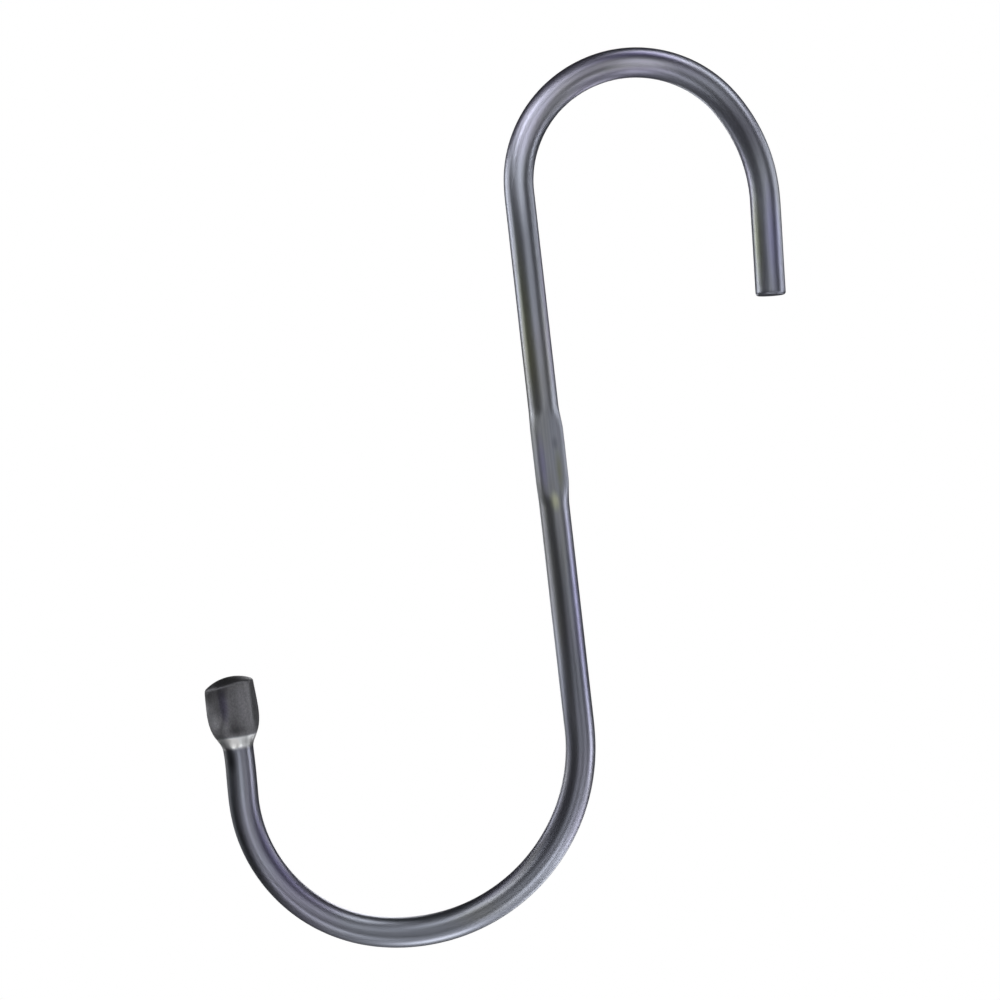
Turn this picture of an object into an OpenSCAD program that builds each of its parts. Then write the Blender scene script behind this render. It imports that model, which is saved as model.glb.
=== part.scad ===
// Paint bucket hook: one length of round steel rod bent into an S.
// The small hook goes over a ladder rung. The big hook holds the bucket's bail, and the
// rod's end there is upset into a knob, so that the bail can't slide off.
// hook() reads as the bending order: each stretch of rod is followed by what comes after it.
// Origin: where the rung touches the inside of the small hook. +Z up, hook in the XZ plane.

/* [Rod] */
// Diameter of the round rod
rod_d = 6.35; // [5:0.05:8]
// Length of the straight shank between the two hooks
shank_len = 112; // [60:1:200]
// Amount by which a bend draws the rod in, on its radius
bend_draw = 0.03; // [0.02:0.01:0.1]
// Chamfer round the plain sawn end
tip_chamfer = 0.6; // [0.2:0.1:1]

/* [Rung hook] */
// Radius of the bend that sits on the rung, to the middle of the rod
rung_r = 24.5; // [18:0.5:32]
// Radius of the wider bend that leads to the plain arm, to the middle of the rod
rung_wide_r = 34.5; // [25:0.5:50]
// Angle turned by the wider bend
rung_wide_a = 37; // [10:1:60]
// Angle by which the plain arm leans in towards the shank
rung_lean = 3; // [0:0.5:6]
// Straight length of the plain arm
rung_arm = 19.6; // [12:0.1:40]

/* [Bail hook] */
// Radius of the bend that leaves the shank, to the middle of the rod
bail_wide_r = 38.3; // [30:0.1:50]
// Angle turned by the bend that leaves the shank
bail_wide_a = 104.5; // [60:0.5:120]
// Radius of the bend that rises to the knob, to the middle of the rod
bail_r = 31; // [24:0.5:40]
// Angle by which the knob's arm leans in towards the shank
bail_lean = 1.2; // [0:0.1:6]
// Straight length of the arm below the knob
bail_arm = 10.8; // [4:0.1:30]

/* [Knob] */
// Widest diameter of the knob
knob_d = 11; // [10:0.1:14]
// Length of the knob from its neck to its top
knob_len = 14.4; // [12:0.1:20]
// Height of the knob's widest place above the neck
knob_belly = 6.7; // [5:0.1:9]
// Radius of the bowl-shaped underside, seen from the side
knob_bowl_r = 10.5; // [8:0.1:14]
// Radius of the barrel-shaped side above the widest place
knob_barrel_r = 36; // [20:1:60]
// Radius of the domed top
knob_dome_r = 9.3; // [8:0.1:14]
// Distance of the dome's peak from the knob's own axis, towards the shank
knob_dome_off = 0.8; // [0:0.1:1.5]
// Distance across the soft flats that the upsetting dies leave
knob_flats = 10; // [9.6:0.1:14]
// Angle by which the edge between the two front flats is turned away from the shank
knob_turn = 10; // [0:1:30]
// Angle by which the knob leans away from the shank
knob_lean = 3.3; // [0:0.1:4]

/* [Stamping flat] */
// Length of the flat pressed into the front of the shank, with its ramps
pad_len = 20; // [12:0.5:30]
// Distance from the small hook's bend to the middle of the flat
pad_from_bend = 55; // [20:0.5:90]
// Depth of the flat below the rod's surface
pad_depth = 0.4; // [0.2:0.05:1]
// Length of the ramp at each end of the flat
pad_ramp = 4; // [1:0.1:5]
// Amount by which the pressed metal swells out at each side
pad_swell = 0.25; // [0.1:0.05:0.5]
// Angle by which the flat is turned from the front, towards the plain arm's side
pad_turn = 17; // [0:1:30]

/* [Hidden] */

$fn = 48;
rod_r = rod_d / 2;
// a half turn, plus the lean of the arm, is shared out between the two bends of a hook
rung_a = 180 + rung_lean - rung_wide_a;
bail_a = 180 + bail_lean - bail_wide_a;
// the knob swings about a place in the arm this far below the neck
knob_pivot = rod_r;
knob_sides = 6;
// pressing sinks the swollen metal forward of the rod's own axis
pad_shift = pad_depth + pad_swell / 2;
// anything past this distance from the axis is clear of the rod
clear_r = rod_d;
// each bend runs this far into the metal before and after it
let_in = 0.3;

// Rod bent from +Z towards +X by angle a on radius r, then what follows it.
// The second bend in a row is drawn in twice.
module bend(r, a, drawn = 1) {
    extra = let_in / r * 180 / PI;
    translate([r, 0, 0]) {
        rotate([90, a + extra - 180, 0])
            rotate_extrude(angle = a + 2 * extra) translate([r, 0]) circle(rod_r - drawn * bend_draw);
        rotate([0, a, 0]) translate([-r, 0, 0]) children();
    }
}

// The straight arm with the sawn end, whose edge is broken
module plain_arm() {
    straight = rung_arm - tip_chamfer;
    cylinder(d = rod_d, h = straight);
    translate([0, 0, straight]) cylinder(r1 = rod_r, r2 = rod_r - tip_chamfer, h = tip_chamfer);
}

// Metal pushed out sideways by the press: a short fatter rod, set forward, with tapered ends
module pad_swelling() {
    inner_r = rod_r - pad_shift - pad_swell;
    body_r = rod_r + pad_swell;
    body_len = pad_len - 2 * pad_ramp;
    translate([0, -pad_shift, 0]) {
        translate([0, 0, -body_len / 2]) cylinder(r = body_r, h = body_len);
        for (end = [0, 1]) mirror([0, 0, end])
            translate([0, 0, body_len / 2]) cylinder(r1 = body_r, r2 = inner_r, h = 2 * pad_ramp);
    }
}

// What the press takes off the front: a bar with a level face and a ramp at each end
module pad_cutter() {
    rise = clear_r - (rod_r - pad_depth);
    flat_half = pad_len / 2 - pad_ramp;
    open_half = flat_half + pad_ramp * rise / pad_depth;
    translate([-clear_r, -clear_r, 0]) rotate([90, 0, 90]) linear_extrude(2 * clear_r)
        polygon([[0, open_half], [rise, flat_half], [rise, -flat_half], [0, -open_half]]);
}

// Where the press struck: on the front, turned a little towards the plain arm's side
module at_pad() {
    translate([0, 0, pad_from_bend]) rotate([0, 0, -pad_turn]) children();
}

// The straight shank with its stamping flat, then what follows it
module shank() {
    difference() {
        union() {
            cylinder(d = rod_d, h = shank_len);
            at_pad() pad_swelling();
        }
        at_pad() pad_cutter();
    }
    translate([0, 0, shank_len]) children();
}

// Half section of the knob: bowl underneath, barrel above the belly
module knob_section() {
    knob_r = knob_d / 2;
    intersection() {
        square([knob_r, knob_belly]);
        translate([knob_r - knob_bowl_r, knob_belly]) circle(knob_bowl_r);
    }
    translate([0, knob_belly]) intersection() {
        square([knob_r, knob_len - knob_belly]);
        translate([knob_r - knob_barrel_r, 0]) circle(knob_barrel_r);
    }
}

// The knob on its own axis: the dies leave six soft flats, and the last blow an off-centre dome
module knob_form() {
    intersection() {
        rotate_extrude() knob_section();
        rotate([0, 0, 180 / knob_sides - knob_turn])
            cylinder(d = knob_flats / cos(180 / knob_sides), h = knob_len, $fn = knob_sides);
        translate([knob_dome_off, 0, knob_len - knob_dome_r]) sphere(knob_dome_r);
    }
}

// The arm that carries the knob: the rod runs on inside it, so that the neck is as thick as the rod
module knob_arm() {
    cylinder(d = rod_d, h = bail_arm + knob_belly);
    translate([0, 0, bail_arm - knob_pivot]) rotate([0, -knob_lean, 0])
        translate([0, 0, knob_pivot]) knob_form();
}

// The whole hook, bent both ways from the top of the shank
module hook() {
    color("lightslategray")
        translate([-rung_r, 0, rod_r - rung_r]) {
            bend(rung_r, rung_a) bend(rung_wide_r, rung_wide_a, drawn = 2) plain_arm();
            rotate([0, 180, 0])
                shank() bend(bail_wide_r, bail_wide_a) bend(bail_r, bail_a, drawn = 2) knob_arm();
        }
}

hook();
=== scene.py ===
# %% [markdown]
# # A paint bucket hook, bent from one steel rod
# The real hook is a length of quarter inch round steel. One end is sawn off plain and goes over a
# ladder rung. The other end is upset into a knob, so that a bucket's bail can't slide off. The rod is
# zinc plated, which leaves a dull bluish grey skin with streaks that run along the metal.
#
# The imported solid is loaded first. It gives the true size and the frame: metres, +Z up along the
# shank, the hook in the XZ plane, and the stamping flat facing -Y.

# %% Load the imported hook
import math

import bpy
import numpy as np
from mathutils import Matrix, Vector


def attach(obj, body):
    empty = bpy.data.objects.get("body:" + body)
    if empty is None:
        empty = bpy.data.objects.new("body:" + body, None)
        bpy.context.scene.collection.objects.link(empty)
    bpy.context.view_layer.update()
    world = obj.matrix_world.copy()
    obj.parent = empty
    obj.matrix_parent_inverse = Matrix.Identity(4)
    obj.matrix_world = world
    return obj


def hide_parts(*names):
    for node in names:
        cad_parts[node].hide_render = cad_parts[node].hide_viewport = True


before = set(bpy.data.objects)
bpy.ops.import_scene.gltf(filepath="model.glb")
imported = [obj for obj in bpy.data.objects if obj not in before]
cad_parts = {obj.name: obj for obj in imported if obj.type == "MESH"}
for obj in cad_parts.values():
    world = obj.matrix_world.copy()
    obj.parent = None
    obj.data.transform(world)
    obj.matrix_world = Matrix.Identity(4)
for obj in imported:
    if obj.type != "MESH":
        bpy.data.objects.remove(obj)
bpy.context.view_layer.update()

# %% [markdown]
# ## The bending table
# A bent rod is described as a bender makes it: so much straight, then so many degrees round such a
# radius, and so on to the end. The table starts at the middle of the knob's top. The first short
# turn is the knob's own lean, where the upset metal has crept sideways off the rod's axis.
# Angles are positive where the rod turns left as it is followed. Lengths are in millimetres.

# %% The bending table
MM = 0.001
ROD_R = 6.35 / 2
KNOB_LEN, KNOB_LEAN, KNOB_LEAN_R = 14.4, 3.3, 40.0
BAIL_ARM, BAIL_R, BAIL_LEAN = 10.8, 31.0, 1.2
WIDE_BAIL_R, WIDE_BAIL_TURN = 38.3, 104.5
SHANK_LEN = 112.0
RUNG_ARM, RUNG_R, RUNG_LEAN = 19.6, 24.5, 3.0
WIDE_RUNG_R, WIDE_RUNG_TURN = 34.5, 37.0

# the knob's lean swings about a place one rod radius below the neck: half of its short turn lies
# on each side of it
lean_half = KNOB_LEAN_R * math.radians(KNOB_LEAN) / 2
# a half turn, plus the lean of the arm, is shared out between the two bends of a hook
BENDING_TABLE = [
    ("knob and neck", KNOB_LEN + ROD_R - lean_half, 0.0),
    ("knob's lean", KNOB_LEAN_R, -KNOB_LEAN),
    ("knob's arm", BAIL_ARM - ROD_R - lean_half, 0.0),
    ("bail bend", BAIL_R, 180 + BAIL_LEAN - WIDE_BAIL_TURN),
    ("wide bail bend", WIDE_BAIL_R, WIDE_BAIL_TURN),
    ("shank", SHANK_LEN, 0.0),
    ("rung bend", RUNG_R, WIDE_RUNG_TURN - 180 - RUNG_LEAN),
    ("wide rung bend", WIDE_RUNG_R, -WIDE_RUNG_TURN),
    ("plain arm", RUNG_ARM, 0.0),
]
# the way down the knob's arm at the start, and where the shank ends at the top
FIRST_HEADING = math.radians(KNOB_LEAN - 90 - BAIL_LEAN)
SHANK_TOP = np.array([-RUNG_R, ROD_R - RUNG_R])


def stretch_length(size, turn):
    """A straight stretch's length is its size. A bend's length is its radius times its angle."""
    return size if turn == 0 else size * math.radians(abs(turn))


lengths = np.array([stretch_length(size, turn) for _, size, turn in BENDING_TABLE])
stretch_ends = np.concatenate([[0.0], np.cumsum(lengths)])
names = [name for name, _, _ in BENDING_TABLE]
SHANK_END = stretch_ends[names.index("shank") + 1]
ROD_END = stretch_ends[-1]
print("rod, from knob to sawn end: %.1f mm" % ROD_END)

# %% [markdown]
# ## The middle line
# The line could be drawn as arcs and straights, but where an arc meets a straight the curvature
# jumps, and a shiny rod shows that as a kink in every reflection. Cold metal eases into a bend.
# So the curvature is laid out along the rod first, smoothed over a few millimetres, and added up:
# the running sum of curvature is the heading, and the running sum of the heading's unit vector is
# the place.

# %% Work out the middle line
# the step of the running sums, and the length over which a bend eases in
LINE_STEP, EASE = 0.05, 5.0


def middle_line():
    """Arc length, place and heading along the rod.

    heading(s) = first heading + sum of curvature x step; place(s) = sum of (cos, sin) x step,
    shifted so that the top of the shank lies where the solid has it.
    """
    s = np.arange(0.0, ROD_END + LINE_STEP / 2, LINE_STEP)
    curvature = np.zeros_like(s)
    for (_, size, turn), start, end in zip(BENDING_TABLE, stretch_ends[:-1], stretch_ends[1:]):
        if turn:
            inside = np.clip((np.minimum(s + LINE_STEP, end) - np.maximum(s, start)) / LINE_STEP, 0, 1)
            curvature += inside * math.copysign(1.0 / size, turn)
    # a bell with an odd number of taps, so that it stays centred
    taps = np.hanning(int(EASE / LINE_STEP) | 1)
    curvature = np.convolve(curvature, taps / taps.sum(), mode="same")
    heading = FIRST_HEADING + np.concatenate([[0.0], np.cumsum(curvature)[:-1]]) * LINE_STEP
    mid = heading + curvature * LINE_STEP / 2
    step = np.stack([np.cos(mid), np.sin(mid)], axis=1) * LINE_STEP
    place = np.concatenate([[[0.0, 0.0]], np.cumsum(step, axis=0)[:-1]])
    # the straight shank anchors the line: it runs through SHANK_TOP, heading straight up
    anchor = np.argmin(np.abs(s - (SHANK_END - SHANK_LEN / 2)))
    place += SHANK_TOP - [0.0, SHANK_LEN / 2] - place[anchor]
    return s, place, heading, curvature


line_s, line_place, line_heading, line_curvature = middle_line()
print("knob's top at (%.2f, %.2f), sawn end at (%.2f, %.2f) mm" % (*line_place[0], *line_place[-1]))


def along(s):
    """Place, heading and curvature of the middle line at the arc lengths s, by interpolation."""
    columns = (line_place[:, 0], line_place[:, 1], line_heading, line_curvature)
    return [np.interp(s, line_s, column) for column in columns]


# %% [markdown]
# ## The cross-section
# A plain circle would look like a drawing of a hook. The real section changes along the rod. It is
# squeezed a little flat round each bend, its surface wanders by a few hundredths of a millimetre,
# and half way down the shank a press has left a short flat whose edges bulge sideways. Every one of
# these is a rule for the radius, given the angle round the rod and the distance along it.
# Angle 0 points to the left of someone following the rod, and a quarter turn further is the front.

# %% Helpers for smooth shapes
def soft_min(a, b, width):
    """The smaller of a and b, with the corner between them rounded over the width w.

    h runs from 0 to 1 while b - a runs from -w to w. The result is b + (a - b) h - w h (1 - h).
    """
    h = np.clip(0.5 + 0.5 * (b - a) / width, 0, 1)
    return b + (a - b) * h - width * h * (1 - h)


def soft_max(a, b, width):
    """The larger of a and b, with the corner rounded over the width."""
    return -soft_min(-a, -b, width)


def ease(x, start, end):
    """0 before start, 1 after end, and 3t^2 - 2t^3 between them. With start above end it falls."""
    t = np.clip((x - start) / (end - start), 0, 1)
    return t * t * (3 - 2 * t)


def waves(seed, count, shortest, longest, s, angle):
    """A wandering surface: a sum of long sine waves that turn slowly round the rod.

    Each wave is sin(2 pi s / length + turns x angle + phase), with whole turns, so it closes.
    """
    rng = np.random.default_rng(seed)
    length = rng.uniform(shortest, longest, count)[:, None, None]
    turns = rng.integers(0, 4, count)[:, None, None]
    phase = rng.uniform(0, 2 * math.pi, count)[:, None, None]
    return np.sin(2 * math.pi * s / length + turns * angle + phase).mean(axis=0)


print("two edges of 1 and 1, rounded over 0.4: %.2f" % soft_min(1.0, 1.0, 0.4))

# %% The stamping flat's section
PAD_LEN, PAD_RAMP, PAD_DEPTH, PAD_SWELL = 20.0, 4.0, 0.4, 0.25
PAD_TURN = math.radians(17)
PAD_FROM_BEND = 55.0
PAD_MIDDLE = SHANK_END - PAD_FROM_BEND
PAD_SHIFT = PAD_DEPTH + PAD_SWELL / 2
# how widely the swelling melts into the rod, and the flat's long edges are rounded
SWELL_BLEND, FLAT_EDGE_BLEND = 0.3, 1.3
print("stamping flat's middle: %.1f mm from the knob's top, along the rod" % PAD_MIDDLE)


def pad_radius(angle, radius):
    """Radius of the fully pressed section.

    The swollen metal is a circle set forward by a shift d: r = d cos a + sqrt(R^2 - d^2 sin^2 a), with
    a measured from the middle of the flat. The press holds that side back to a level face: r <= h / cos a.
    """
    from_face = angle - math.pi / 2 - PAD_TURN
    swollen_r = radius + PAD_SWELL
    swollen = PAD_SHIFT * np.cos(from_face) + np.sqrt(swollen_r**2 - (PAD_SHIFT * np.sin(from_face)) ** 2)
    # on the far side of the rod the face is out of reach, so its cosine is held above zero
    face = (radius - PAD_DEPTH) / np.maximum(np.cos(from_face), 0.05)
    return soft_min(soft_max(radius, swollen, SWELL_BLEND), face, FLAT_EDGE_BLEND)


# %% The rod's radius everywhere
# a bend squeezes the rod by this length over the bend's radius: more in its own plane than across it
SQUEEZE, THINNING, FLATTENING = 0.25, 0.75, 0.6
# the surface lies a hair inside the true rod and wanders about there
SKIN_INSET, WANDER = 0.02, 0.03
# the ramps melt into the rod at one end and into the flat at the other
RAMP_START_BLEND, RAMP_END_BLEND = 0.5, 1.0


def rod_radius(s, angle):
    """Radius at distance s along the rod and at the angle round it.

    Rod: R (1 - k (thinning + flattening x cos 2a)) with k = squeeze x curvature, less the inset, plus
    the waves. Towards the middle of the flat it turns into the pressed section.
    """
    _, _, _, bend = along(s)
    squeeze = SQUEEZE * np.abs(bend)
    radius = ROD_R * (1 - squeeze * (THINNING + FLATTENING * np.cos(2 * angle)))
    wander = waves(seed=4, count=7, shortest=14, longest=60, s=s, angle=angle)
    radius = radius - SKIN_INSET + WANDER * wander
    half = PAD_LEN / 2
    press = ease(np.abs(s - PAD_MIDDLE), half + RAMP_START_BLEND, half - PAD_RAMP - RAMP_END_BLEND)
    return radius + press * (pad_radius(angle, radius) - radius)


flat_side = math.pi / 2 + PAD_TURN
print("rod's radius across the flat: %.2f mm, and 30 mm further up: %.2f mm" % tuple(
    rod_radius(np.array([[PAD_MIDDLE], [PAD_MIDDLE + 30]]), flat_side).ravel()))


# %% [markdown]
# ## The knob
# The knob is the rod's own end, heated and driven back into a die. That gives a bowl-shaped
# underside that grows out of the rod, a nearly straight barrel with six soft flats from the die's
# jaws, and a domed top whose peak lies off the axis, with a rolled rim. The bowl and barrel are one
# table of radius against height, smoothed. The dome is part of a sphere, and a rolling ball
# fillet joins the two: at each angle round the knob the fillet turns just as far as the dome needs.

# %% The knob's side
KNOB_FLATS, KNOB_TURN = 10.0, math.radians(10)
DOME_R, DOME_OFF, RIM_R = 9.3, 0.8, 0.9
# how widely the edges between the flats are rounded
FLATS_BLEND = 0.22
# the rod's radius at the neck, and how far down the rod the neck's swelling reaches
NECK_R, NECK_REACH = 3.16, 2.0
# height above the neck, and radius
KNOB_PROFILE = np.array([
    (-NECK_REACH, NECK_R), (-0.8, NECK_R), (-0.2, 3.22), (0.5, 3.50), (1.2, 3.88),
    (2.1, 4.36), (3.0, 4.78), (4.0, 5.08), (5.2, 5.34), (6.4, 5.47),
    (7.2, 5.50), (9.0, 5.40), (10.5, 5.30), (12.0, 5.20), (KNOB_LEN, 5.05)])
PROFILE_STEP, PROFILE_TAPS = 0.05, 23


def knob_side(height):
    """Radius of the bowl and barrel against height above the neck: the table, smoothed by a bell."""
    fine = np.arange(-NECK_REACH, KNOB_LEN + PROFILE_STEP / 5, PROFILE_STEP)
    table = np.interp(fine, KNOB_PROFILE[:, 0], KNOB_PROFILE[:, 1])
    taps = np.hanning(PROFILE_TAPS)
    padded = np.pad(table, PROFILE_TAPS // 2, mode="edge")
    return np.interp(height, fine, np.convolve(padded, taps / taps.sum(), mode="valid"))


def flats(angle, radius):
    """Six soft flats: the radius, held back to (distance / cos a) from the middle of each flat.

    An edge between two flats comes to the front, turned a little away from the shank.
    """
    from_flat = (angle - math.pi / 2 - KNOB_TURN) % (math.pi / 3) - math.pi / 6
    face = KNOB_FLATS / 2 / np.cos(from_flat)
    return soft_min(radius, face, FLATS_BLEND)


def dome(a, b):
    """Height of the domed top at sideways place (a, b), with a towards the shank's side.

    Sphere: height = length - R + sqrt(R^2 - (a - offset)^2 - b^2), so its peak is the knob's length.
    """
    return KNOB_LEN - DOME_R + np.sqrt(DOME_R**2 - (a - DOME_OFF) ** 2 - b**2)


print("knob's radius at half height: %.2f mm, or %.2f mm in the middle of a flat" % (
    knob_side(KNOB_LEN / 2), flats(math.pi / 3 + KNOB_TURN, knob_side(KNOB_LEN / 2))))

# %% The knob's surface, ring by ring
AROUND = 80
angles = np.arange(AROUND) * 2 * math.pi / AROUND
CAP_RINGS, RIM_RINGS, SIDE_RINGS = 14, 10, 65
# the height at which the rim takes its size from the side, and how far in from there the dome's
# slope is read, as a share of the rim's radius
RIM_AT, SLOPE_INSET = 12.6, 0.55
# the flats fade out in the bowl between these heights, where the die's jaws no longer reach
JAWS_FROM, JAWS_FULL = 0.6, 3.4


def knob_rings():
    """Rings (a, b, height) from the pole of the dome down to the neck, in the knob's own frame.

    Side: (r cos, r sin, h). Rim: a quarter turn of radius f that stops where it is tangent to the
    dome, r = R - f (1 - cos t), h = h0 + f sin t. Top: the dome over a shrinking ring.
    """
    cos, sin = np.cos(angles), np.sin(angles)
    top_r = flats(angles, knob_side(np.array(RIM_AT)))
    inner_r = top_r - RIM_R * SLOPE_INSET
    a, b = inner_r * cos, inner_r * sin
    down = (inner_r - DOME_OFF * cos) / np.sqrt(DOME_R**2 - (a - DOME_OFF) ** 2 - b**2)
    turn_end = math.pi / 2 - np.arctan(down)
    meet_r = top_r - RIM_R * (1 - np.cos(turn_end))
    rim_base = dome(meet_r * cos, meet_r * sin) - RIM_R * np.sin(turn_end)
    share = np.linspace(0, 1, CAP_RINGS + 1)[1:, None]
    cap_r = meet_r * share
    cap = np.stack([cap_r * cos, cap_r * sin, dome(cap_r * cos, cap_r * sin)], axis=2)
    turn = turn_end * np.linspace(1, 0, RIM_RINGS + 1)[1:, None]
    rim_r = top_r - RIM_R * (1 - np.cos(turn))
    rim = np.stack([rim_r * cos, rim_r * sin, rim_base + RIM_R * np.sin(turn)], axis=2)
    height = rim_base * np.linspace(1, 0, SIDE_RINGS + 1)[1:, None]
    free_r = knob_side(height)
    jaws = ease(height, JAWS_FROM, JAWS_FULL)
    side_r = free_r + (flats(angles, free_r) - free_r) * jaws
    side = np.stack([side_r * cos, side_r * sin, height], axis=2)
    return np.concatenate([cap, rim, side])


rings = knob_rings()
print("knob: %d rings, %.2f mm wide, %.2f mm tall" % (
    len(rings), np.ptp(rings[:, :, 0]), rings[:, :, 2].max()))

# %% [markdown]
# ## One skin over the whole hook
# The knob's rings and the rod's rings make one closed skin, because the real hook is one piece of
# metal. Each ring lies square to the middle line: its first direction is to the left of the line
# and its second is to the front. Rings stand closer where the shape changes quickly. At the sawn
# end the rings step in over the broken edge and close on a point, and so does the dome.
#
# Every point also keeps the place that it would have on the straight rod, before bending. The
# finish is worked out there, so that streaks run along the metal and round the bends with it.

# %% The rod's rings
TIP_CHAMFER, CHAMFER_RINGS = 0.6, 8
# the saw leaves the middle of the end a hair lower than its edge
SAW_SINK, FACE_RINGS = 0.03, 8
PLAIN_STEP, PAD_STEP, PAD_REACH = 0.56, 0.3, 11
FIRST_RING, LAST_GAP = 0.25, 0.4


def rod_rings():
    """Rings (a, b, distance along the rod) from the neck to the sawn end.

    Ring: (r cos, r sin, s). Broken edge: a quarter turn, s = end - c (1 - sin t), inset = c (1 - cos t).
    Sawn face: rings that shrink to the middle and sink by (1 - share^4).
    """
    near_pad = np.arange(PAD_MIDDLE - PAD_REACH, PAD_MIDDLE + PAD_REACH, PAD_STEP)
    plain = np.arange(KNOB_LEN + FIRST_RING, ROD_END - TIP_CHAMFER - LAST_GAP, PLAIN_STEP)
    plain = plain[np.abs(plain - PAD_MIDDLE) > PAD_REACH]
    s = np.sort(np.concatenate([plain, near_pad]))[:, None]
    turn = np.linspace(0, math.pi / 2, CHAMFER_RINGS)[:, None]
    edge_s = ROD_END - TIP_CHAMFER * (1 - np.sin(turn))
    edge_in = TIP_CHAMFER * (1 - np.cos(turn))
    inset = np.concatenate([np.zeros_like(s), edge_in])
    s = np.concatenate([s, edge_s])
    radius = rod_radius(s, angles[None, :])
    # the neck's swelling reaches a little way down the rod
    neck_end = KNOB_LEN + NECK_REACH
    swell = knob_side(KNOB_LEN - s) - NECK_R
    at_neck = radius + swell + (NECK_R - radius) * ease(s, neck_end, KNOB_LEN)
    radius = np.where(s < neck_end, at_neck, radius) - inset
    face_share = np.linspace(1, 0, FACE_RINGS + 2)[1:-1, None]
    face_r = radius[-1] * face_share
    face_s = ROD_END - SAW_SINK * (1 - face_share**4)
    radius = np.concatenate([radius, face_r])
    s = np.concatenate([s, face_s])
    return np.stack([radius * np.cos(angles), radius * np.sin(angles), s + 0 * radius], axis=2)


rod_sections = rod_rings()
print("rod: %d rings" % len(rod_sections))

# %% Carry the sections along the line
def carry(sections):
    """Places in the hook of points given as (left, front, distance along the rod).

    The middle line's place at that distance, plus left times (-sin, cos) of the line's heading in the
    hook's plane. The front is the -Y side.
    """
    left, front, s = sections[..., 0], sections[..., 1], sections[..., 2]
    x, z, heading, _ = along(np.minimum(s, ROD_END))
    return np.stack([x - left * np.sin(heading), -front, z + left * np.cos(heading)], axis=-1)


knob_sections = rings * [1, 1, -1] + [0, 0, KNOB_LEN]
all_rings = np.concatenate([knob_sections, rod_sections])
knob_pole = np.array([[0, 0, KNOB_LEN - dome(0, 0)]])
sawn_pole = np.array([[0, 0, ROD_END - SAW_SINK]])
unbent = np.concatenate([all_rings.reshape(-1, 3), knob_pole, sawn_pole])
places = carry(unbent) * MM
print("skin: %d rings of %d points" % (len(all_rings), AROUND))

# %% [markdown]
# ## Marks on the metal
# Most marks on the rod are painted light. Where the shiny rod shows a bright band of reflection, a
# mark lightens its colour there: a painted highlight. Where it shows a dark band, a mark darkens it:
# painted shade. The olive and violet tints along the rod's edges are painted reflections of coloured
# light. The marks on the knob lighten, darken and tint its forged skin in patches, the flat's sides
# are tinted, the dark spot on the flat is the metal's own, and the sawn end is darkened. Each mark is
# a soft oval laid on the straight rod, with a strength and a tint from a short list, and it multiplies
# the colour under it. The marks are worked out at the skin's own points and kept there as a colour,
# so that they follow the metal.

# %% Strengths and tints of a mark
# how strongly a mark darkens or lightens the metal, for painted shade and painted highlights as for the
# other marks
SOOTY, DARKEN_MORE, DARKEN_A_LITTLE = 0.38, 0.6, 0.8
EVEN = 1.0
LIGHTEN_A_LITTLE, LIGHTEN_MORE, BARE = 1.5, 1.9, 2.3
# what a mark does to red, green and blue
GREY, VIOLET, OLIVE = (1.0, 1.0, 1.0), (1.0, 0.95, 1.25), (1.0, 1.0, 0.7)
print("one mark: from %.2f to %.2f times the plain colour" % (SOOTY, BARE))

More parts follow.
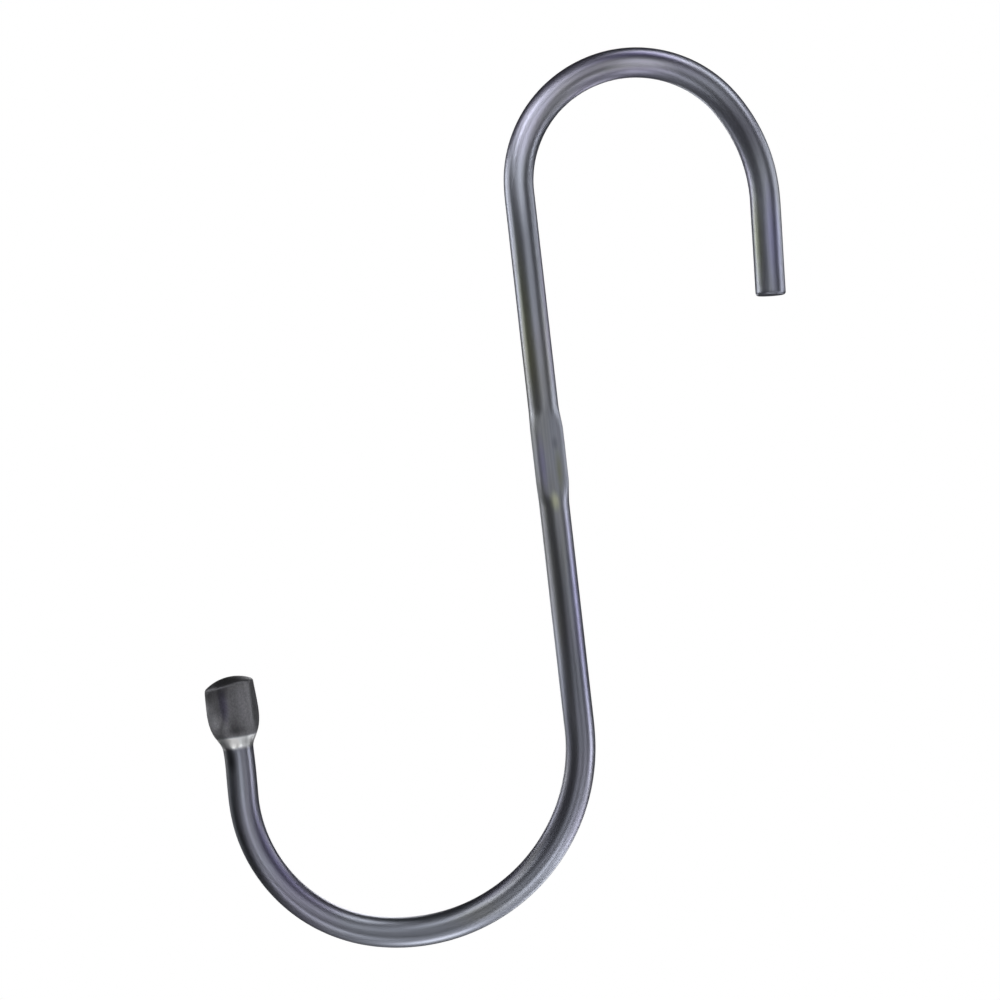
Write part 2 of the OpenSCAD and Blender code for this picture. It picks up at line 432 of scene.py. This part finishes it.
# %% Lay out the marks
# distance along the rod, offset to the left, half length and half width (mm), strength and tint
MARKS = [
    ("scale on the knob's top", 0, 0, 2.2, 9, SOOTY, GREY),
    ("scale under the knob's rim", 2.4, -1.4, 2.8, 3.4, DARKEN_MORE, GREY),
    ("scale on the knob's corner", 3.2, -4.6, 2.6, 2.2, SOOTY, GREY),
    ("violet heat tint, high on the knob", 5.5, -1.1, 5, 1.4, DARKEN_A_LITTLE, VIOLET),
    ("grey heat tint, low on the knob", 10.3, 0.4, 3.2, 1.8, DARKEN_MORE, GREY),
    ("pale patch low on the knob", 9.9, -2.5, 3.8, 2.7, BARE, GREY),
    ("grey flank of the knob", 7.4, -4.2, 4.6, 1.7, LIGHTEN_A_LITTLE, GREY),
    ("grey stripe on the knob", 6, 3, 6.5, 1.8, LIGHTEN_A_LITTLE, GREY),
    ("soot above the neck", 11, 0.6, 1.2, 3.6, DARKEN_MORE, GREY),
    ("shade at the neck's right", 14, 3, 2, 2, SOOTY, GREY),
    # painted shade: the dark band of reflection down the rod's left side, just below the neck
    ("painted shade below the neck", 17.3, -1.6, 3.6, 1.6, SOOTY, GREY),
    # painted highlight down the middle of the knob's arm, and painted shade beside it and along its inside
    ("bright line down the knob's arm", 30, -0.2, 28, 1.6, LIGHTEN_MORE, GREY),
    ("painted shade beside it", 28, -2.4, 26, 1.3, SOOTY, GREY),
    ("painted shade inside the knob's arm", 40, 2.2, 24, 1.6, DARKEN_MORE, VIOLET),
    # painted light round the bail bend: a painted highlight on its outside, painted shade on its inside
    ("painted highlight outside the bail bend", 98, -2.2, 50, 2.3, LIGHTEN_MORE, GREY),
    ("painted shade inside the bail bend", 118, 2.2, 30, 2.3, SOOTY, GREY),
    # painted light up the shank: a painted highlight on its left flank, a dark stripe of painted shade,
    # and a painted violet reflection on its right edge
    ("pale flank of the shank", 152, 2.2, 36, 2.2, LIGHTEN_MORE, GREY),
    ("dark stripe up the shank", 162, 0.5, 34, 1.6, SOOTY, GREY),
    ("violet edge of the shank", 160, -2.3, 34, 1.5, DARKEN_A_LITTLE, VIOLET),
    # painted highlight where the flat's lower ramp catches the light
    ("painted highlight on the flat's lower ramp", 184, -0.2, 2.8, 1.5, LIGHTEN_A_LITTLE, OLIVE),
    ("dark spot on the flat", 196, -1.6, 2.2, 1, DARKEN_MORE, GREY),
    ("violet side of the flat", 192, 1.6, 9, 1.2, DARKEN_A_LITTLE, VIOLET),
    ("greenish side of the flat", 190, -1.9, 7, 1.2, DARKEN_A_LITTLE, OLIVE),
    # painted olive reflection on the shank's left flank above the flat
    ("olive flank above the flat", 222, 1.6, 26, 1.7, EVEN, OLIVE),
    # painted highlights and painted shade round the rung bend and over the crown
    ("painted highlight at the start of the rung bend", 259, 0.1, 22, 1.9, BARE, GREY),
    ("pale outside of the rung bend", 272, 2.3, 22, 1.3, LIGHTEN_A_LITTLE, GREY),
    ("shine on the crown", 291, -1, 10, 1.6, BARE, GREY),
    ("plum line over the shine", 290, 1.2, 13, 1.1, DARKEN_MORE, VIOLET),
    ("pale outside past the crown", 306, 2.2, 16, 1.6, LIGHTEN_MORE, GREY),
    ("dark patch past the crown", 318, -0.3, 15, 1.8, SOOTY, GREY),
    # painted olive and violet reflections on the plain arm
    ("olive edge of the plain arm", 341, -2.4, 15, 1.6, EVEN, OLIVE),
    ("violet face of the plain arm", 341, 1, 15, 2.4, EVEN, VIOLET),
    ("dull sawn end", 353, 0, 1, 9, DARKEN_MORE, GREY),
]
print("marks: %d" % len(MARKS))


# %% Multiply the marks together
def falloff(r2):
    """1 at the middle, 0 from r = 1 outwards: (1 - r^2)^2."""
    return np.clip(1 - r2, 0, 1) ** 2


def mark_colours(points):
    """Product of all marks at points (left, front, distance).

    A mark's r^2 is the sum of squares of the distances along and across, each over its half size. The
    mark lies on the front of the rod, so a point further back counts as further across.
    """
    left, front, distance = points.T
    colour = np.ones_like(points)
    for _, at, offset, half_length, half_width, strength, tint in MARKS:
        ahead = math.sqrt(max(ROD_R**2 - offset**2, 0))
        across = ((left - offset) ** 2 + np.maximum(ahead - front, 0) ** 2) / half_width**2
        share = falloff(((distance - at) / half_length) ** 2 + across)[:, None]
        colour *= 1 + share * (strength * np.array(tint) - 1)
    return colour


marks = mark_colours(unbent)
print("overlapping marks: from %.2f to %.2f times the plain colour" % (marks.min(), marks.max()))

# %% [markdown]
# ## The hook as one mesh
# The rings' points are numbered round and round, so the four corners of every face follow by
# counting. The straight-rod places and the marks go into the mesh as attributes of its points.

# %% Join the rings into faces
def skin_faces(ring_count):
    """Quads between neighbouring rings, wound so that they face outwards, and a fan at each end."""
    ring = np.arange(ring_count - 1)[:, None] * AROUND
    here = np.arange(AROUND)[None, :]
    after = (here + 1) % AROUND
    quads = np.stack([ring + here, ring + after, ring + AROUND + after, ring + AROUND + here], axis=-1)
    last = (ring_count - 1) * AROUND
    pole_a, pole_b = ring_count * AROUND, ring_count * AROUND + 1
    fan_a = np.stack([np.full(AROUND, pole_a), after[0], here[0]], axis=-1)
    fan_b = np.stack([np.full(AROUND, pole_b), last + here[0], last + after[0]], axis=-1)
    return quads.reshape(-1, 4).tolist() + fan_a.tolist() + fan_b.tolist()


mesh = bpy.data.meshes.new("bucket_hook")
mesh.from_pydata(places, [], skin_faces(len(all_rings)))
mesh.polygons.foreach_set("use_smooth", np.ones(len(mesh.polygons), dtype=bool))
straight = mesh.attributes.new("unbent", "FLOAT_VECTOR", "POINT")
straight.data.foreach_set("vector", unbent.astype(np.float32).ravel())
tone = mesh.attributes.new("marks", "FLOAT_COLOR", "POINT")
tone.data.foreach_set("color", np.column_stack([marks, np.ones(len(marks))]).astype(np.float32).ravel())
mesh.update()
bucket_hook = bpy.data.objects.new("bucket_hook", mesh)
bpy.context.scene.collection.objects.link(bucket_hook)
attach(bucket_hook, "root")
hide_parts("hook")
print("hook: %d faces" % len(mesh.polygons))

# %% [markdown]
# ## Shader maths as plain expressions
# A Blender material is a graph of nodes. Wiring dozens of Math nodes by hand hides what they work
# out, so a socket is wrapped in a small class here, and `a * b + 1` then adds the nodes itself.

# %% A wrapped socket
class Wire:
    """A node's output. Sums, differences and products of wires add a Math node each."""

    def __init__(self, bench, socket):
        self.bench, self.socket = bench, socket

    def output(self, index):
        """Another output of the same node."""
        return Wire(self.bench, self.socket.node.outputs[index])

    def math(self, operation, first, second):
        """A Math node on two values, of which either may be a plain number."""
        return self.bench.node("ShaderNodeMath", {"operation": operation}, {0: first, 1: second})

    def __add__(self, other):
        return self.math("ADD", self, other)

    def __radd__(self, other):
        return self.math("ADD", other, self)

    def __sub__(self, other):
        return self.math("SUBTRACT", self, other)

    def __rsub__(self, other):
        return self.math("SUBTRACT", other, self)

    def __mul__(self, other):
        return self.math("MULTIPLY", self, other)

    def __rmul__(self, other):
        return self.math("MULTIPLY", other, self)


# %% A bench of nodes
class Bench:
    """Adds nodes to one node tree, all of them through node()."""

    def __init__(self, tree):
        self.tree = tree
        tree.nodes.clear()

    def node(self, kind, settings=None, sockets=None):
        """One new node: its settings first, then each socket's value or the wire that goes in."""
        made = self.tree.nodes.new(kind)
        for key, value in (settings or {}).items():
            setattr(made, key, value)
        for key, value in (sockets or {}).items():
            if isinstance(value, Wire):
                self.tree.links.new(value.socket, made.inputs[key])
            else:
                made.inputs[key].default_value = value
        return Wire(self, made.outputs[0]) if made.outputs else None

    def ramp(self, x, start, end, low=0.0, high=1.0):
        """Low before start, high after end, and an S-curve between them."""
        return self.node("ShaderNodeMapRange", {"interpolation_type": "SMOOTHSTEP"}, {
            "Value": x, "From Min": start, "From Max": end, "To Min": low, "To Max": high})

    def noise(self, place, stretch, shift=(0, 0, 0), detail=3.0, roughness=0.55):
        """Noise around 0.5, its grain scaled on its own in each direction."""
        moved = self.node("ShaderNodeMapping", {"vector_type": "POINT"}, {
            "Vector": place, "Location": shift, "Scale": stretch})
        return self.node("ShaderNodeTexNoise", {"noise_dimensions": "3D"}, {
            "Vector": moved, "Scale": 1.0, "Detail": detail, "Roughness": roughness})

    def mix(self, factor, a, b, blend="MIX"):
        """Colour a turned into colour b, or multiplied by it, by the factor.

        A Mix node keeps its sockets for numbers and vectors too: its colours are inputs 6 and 7, and
        output 2.
        """
        return self.node("ShaderNodeMix", {"data_type": "RGBA", "blend_type": blend}, {
            0: factor, 6: a, 7: b}).output(2)


def new_material(name):
    """A material with an empty bench."""
    material = bpy.data.materials.new(name)
    material.use_nodes = True
    return material, Bench(material.node_tree)


# %% [markdown]
# ## Dull zinc on drawn steel
# Zinc plate isn't a mirror. It is a metal with a soft, satin shine, bluish where it is thick and
# faintly violet or olive where its passivation has dried. Under it the drawing die has left
# fine lines along the rod. So the finish has layers, all laid out on the straight rod: long soft
# clouds, two tints, and streaks along the metal. The marks come on top, most of them painted
# highlights and painted shade. The knob was forged, so it is darker, rougher and flecked. Just under
# it a ring is painted almost white: a painted highlight where the neck catches the light. The pressed
# flat is duller than the rod beside it. A single flat colour would be quicker, but would look like grey
# paint.
#
# A noise wanders round 0.5, mostly between 0.3 and 0.7. A ramp turns it into patches: the closer its
# start and end, the harder the patches' edges, and the higher they lie, the fewer the patches.

# %% Places and patterns on the straight rod
zinc_material, zinc = new_material("zinc_plated_rod")
place = zinc.node("ShaderNodeAttribute", {"attribute_name": "unbent"}).output(1)
mark_tone = zinc.node("ShaderNodeAttribute", {"attribute_name": "marks"})
distance = zinc.node("ShaderNodeSeparateXYZ", None, {"Vector": place}).output(2)

clouds = zinc.noise(place, (0.09, 0.09, 0.018))
violet_clouds = zinc.noise(place, (0.12, 0.12, 0.03), (31, 7, 5), detail=2.0)
olive_clouds = zinc.noise(place, (0.15, 0.15, 0.025), (9, 17, 23), detail=2.0)
streaks = zinc.noise(place, (1.9, 1.9, 0.035), detail=4.0)
fine_lines = zinc.noise(place, (4.0, 4.0, 0.10), (3, 11, 2), roughness=0.65)
fleck = zinc.noise(place, (2.6, 2.6, 2.0), detail=4.0, roughness=0.7)
noise_count = sum(made.bl_idname == "ShaderNodeTexNoise" for made in zinc.tree.nodes)
print("patterns: %d noises, laid out in millimetres on the straight rod" % noise_count)

# %% Where the knob, the neck and the flat are
# the forged skin ends a little above the neck, and the painted highlight, a bright ring, a little below it
on_knob = zinc.ramp(distance, KNOB_LEN - 2.4, KNOB_LEN - 1.7, 1.0, 0.0)
# the mask of the painted highlight: a bright ring just below the neck
at_neck = zinc.ramp(distance, KNOB_LEN - 0.2, KNOB_LEN + 0.9, 1.0, 0.0) - on_knob
pad_start, pad_end = PAD_MIDDLE - PAD_LEN / 2, PAD_MIDDLE + PAD_LEN / 2
past_start = zinc.ramp(distance, pad_start, pad_start + PAD_RAMP)
before_end = zinc.ramp(distance, pad_end - PAD_RAMP, pad_end, 1.0, 0.0)
pressed = past_start * before_end
print("flat: from %.1f to %.1f mm along the rod" % (pad_start, pad_end))

# %% Zinc-plated steel
DEEP_ZINC, PALE_ZINC = (0.30, 0.32, 0.38, 1), (0.385, 0.405, 0.47, 1)
VIOLET_ZINC, OLIVE_ZINC = (0.32, 0.30, 0.415, 1), (0.33, 0.335, 0.305, 1)
DARK_STREAK, PAINTED_NECK_HIGHLIGHT = (0.21, 0.215, 0.25, 1), (0.94, 0.96, 0.98, 1)
DEEP_SCALE, PALE_SCALE = (0.165, 0.165, 0.18, 1), (0.235, 0.235, 0.25, 1)

plain = zinc.mix(zinc.ramp(clouds, 0.35, 0.65), DEEP_ZINC, PALE_ZINC)
violet = zinc.mix(zinc.ramp(violet_clouds, 0.42, 0.72, 0.0, 0.7), plain, VIOLET_ZINC)
olive = zinc.mix(zinc.ramp(olive_clouds, 0.52, 0.75, 0.0, 0.7), violet, OLIVE_ZINC)
streaked = zinc.mix(zinc.ramp(streaks, 0.38, 0.72, 0.0, 0.4), olive, DARK_STREAK)
# painted highlight: the ring below the knob is painted almost white
with_neck_highlight = zinc.mix(at_neck, streaked, PAINTED_NECK_HIGHLIGHT)
forged = zinc.mix(zinc.ramp(fleck, 0.3, 0.7), DEEP_SCALE, PALE_SCALE)
# the marks multiply the colour; most of them are painted highlights and painted shade
colour = zinc.mix(1.0, zinc.mix(on_knob, with_neck_highlight, forged), mark_tone, "MULTIPLY")
roughness = 0.30 + 0.10 * clouds + 0.06 * streaks + 0.15 * on_knob + 0.16 * pressed
# the relief is in millimetres
relief = 0.007 * streaks + 0.002 * fine_lines + on_knob * (fleck * 0.05)
bump = zinc.node("ShaderNodeBump", None, {"Strength": 1.0, "Distance": MM, "Height": relief})
skin = zinc.node("ShaderNodeBsdfPrincipled", None, {
    "Base Color": colour, "Metallic": 1.0, "Roughness": roughness, "Normal": bump})
zinc.node("ShaderNodeOutputMaterial", None, {"Surface": skin})
mesh.materials.append(zinc_material)
print("finish: %d nodes" % len(zinc.tree.nodes))

# %% [markdown]
# ## The view
# The hook is seen square on, a little tipped to the left, from half a metre. A long lens further off
# would do as well for such a flat thing, but from here the knob and the sawn end keep their depth.

# %% Camera
# the middle of the view (x and z), its width at the hook, its distance and its tilt
VIEW_CENTRE, VIEW_SPAN = (-35.63, -84.32), 208.2
VIEW_DISTANCE, VIEW_ROLL = 500.0, math.radians(6.43)
camera_data = bpy.data.cameras.new("front_view")
camera_data.sensor_fit = "AUTO"
camera_data.angle = 2 * math.atan(VIEW_SPAN / 2 / VIEW_DISTANCE)
camera = bpy.data.objects.new("front_view", camera_data)
camera.location = (VIEW_CENTRE[0] * MM, -VIEW_DISTANCE * MM, VIEW_CENTRE[1] * MM)
camera.rotation_euler = (math.pi / 2, VIEW_ROLL, 0)
bpy.context.scene.collection.objects.link(camera)
bpy.context.scene.camera = camera
print("camera: sees %.1f degrees" % math.degrees(camera_data.angle))

# %% [markdown]
# ## The floor and the surroundings
# A plain pale floor lies well below the hook. It glows for the camera only, because a real sheet of
# white paper would have to be lit so strongly that it lights the metal from below. In the same way
# the camera sees a white sweep behind the hook, and the metal sees a dim room.

# %% Floor
FLOOR_BELOW, FLOOR_HALF = 1.0, 1.4
# how much of what the camera sees of the floor is its glow
GLOW_SHARE = 0.95
floor_mesh = bpy.data.meshes.new("floor")
corners = np.array([(-1, -1), (1, -1), (1, 1), (-1, 1)]) * FLOOR_HALF
floor_mesh.from_pydata(np.column_stack([corners, np.full(4, -FLOOR_BELOW)]), [], [(0, 1, 2, 3)])
floor = bpy.data.objects.new("floor", floor_mesh)
bpy.context.scene.collection.objects.link(floor)
paper_material, paper = new_material("pale_paper")
seen_paper = paper.node("ShaderNodeLightPath")
paper_front = paper.node("ShaderNodeBsdfPrincipled", None, {
    "Base Color": (0.82, 0.82, 0.82, 1), "Roughness": 0.9})
paper_glow = paper.node("ShaderNodeEmission", None, {"Color": (1, 1, 1, 1), "Strength": 1.0})
paper_skin = paper.node("ShaderNodeMixShader", None, {
    0: GLOW_SHARE * seen_paper, 1: paper_front, 2: paper_glow})
paper.node("ShaderNodeOutputMaterial", None, {"Surface": paper_skin})
floor_mesh.materials.append(paper_material)
print("floor: %.1f m below the place of contact with the rung" % FLOOR_BELOW)

# %% Surroundings
world = bpy.data.worlds.new("studio")
world.use_nodes = True
bpy.context.scene.world = world
bpy.context.scene.view_settings.view_transform = "Standard"
sky = Bench(world.node_tree)
seen_sweep = sky.node("ShaderNodeLightPath")
room = sky.node("ShaderNodeBackground", None, {"Color": (0.80, 0.82, 0.90, 1), "Strength": 0.01})
sweep = sky.node("ShaderNodeBackground", None, {"Color": (1, 1, 1, 1), "Strength": 1.0})
either = sky.node("ShaderNodeMixShader", None, {0: seen_sweep, 1: room, 2: sweep})
sky.node("ShaderNodeOutputWorld", None, {"Surface": either})
print("surroundings: a dim room for the metal, a white sweep for the camera")

# %% [markdown]
# ## The lights
# Shiny rod shows nothing but what is around it: each soft box becomes a band of light that runs along
# the metal. One big box would leave most of the rod black. So smaller boxes stand on rings round the
# hook, all facing it. Those near the camera light the front, those at the sides draw the bright
# flanks, those behind thin the dark edges and light the back, and the low ones lift the underside.

# %% Lights
# a box is a key light, a fill light or a faint one (watts)
KEY, FILL, FAINT = 1.1, 0.55, 0.25
# rings of boxes: degrees above the camera's level, then degrees round from it towards its right
LIGHT_RINGS = [
    (68, {60: KEY}),
    (40, {-80: FILL, -45: KEY, -15: FILL, 80: FILL}),
    (14, {-115: KEY, -90: FILL, 0: FAINT, 15: FAINT, 30: FAINT, 90: FILL, 115: FILL, 175: KEY}),
    (-12, {-160: FILL, -115: FAINT, 0: FAINT, 40: FAINT, 90: KEY}),
    (-40, {-30: FILL, 30: FILL, 70: FAINT, 105: FILL, 150: FILL}),
    (-85, {0: FILL}),
]
# the boxes' distance from the hook, and their width and height (metres)
BOX_AWAY, BOX_SIZE = 0.85, (0.26, 0.36)
VIEW_POINT = Vector((VIEW_CENTRE[0] * MM, 0, VIEW_CENTRE[1] * MM))


def soft_box(round_degrees, up_degrees, power):
    """A rectangle of light that faces the middle of the hook. The camera doesn't see it."""
    data = bpy.data.lights.new("soft_box", "AREA")
    data.shape = "RECTANGLE"
    data.size, data.size_y = BOX_SIZE
    data.energy = power
    box = bpy.data.objects.new("soft_box", data)
    turn, up = math.radians(round_degrees), math.radians(up_degrees)
    outward = Vector((math.sin(turn) * math.cos(up), -math.cos(turn) * math.cos(up), math.sin(up)))
    box.location = VIEW_POINT + BOX_AWAY * outward
    box.rotation_euler = (-outward).to_track_quat("-Z", "Y").to_euler()
    box.visible_camera = False
    bpy.context.scene.collection.objects.link(box)


for up, boxes in LIGHT_RINGS:
    for turn, power in boxes.items():
        soft_box(turn, up, power)
print("lights: %d soft boxes" % sum(len(boxes) for _, boxes in LIGHT_RINGS))
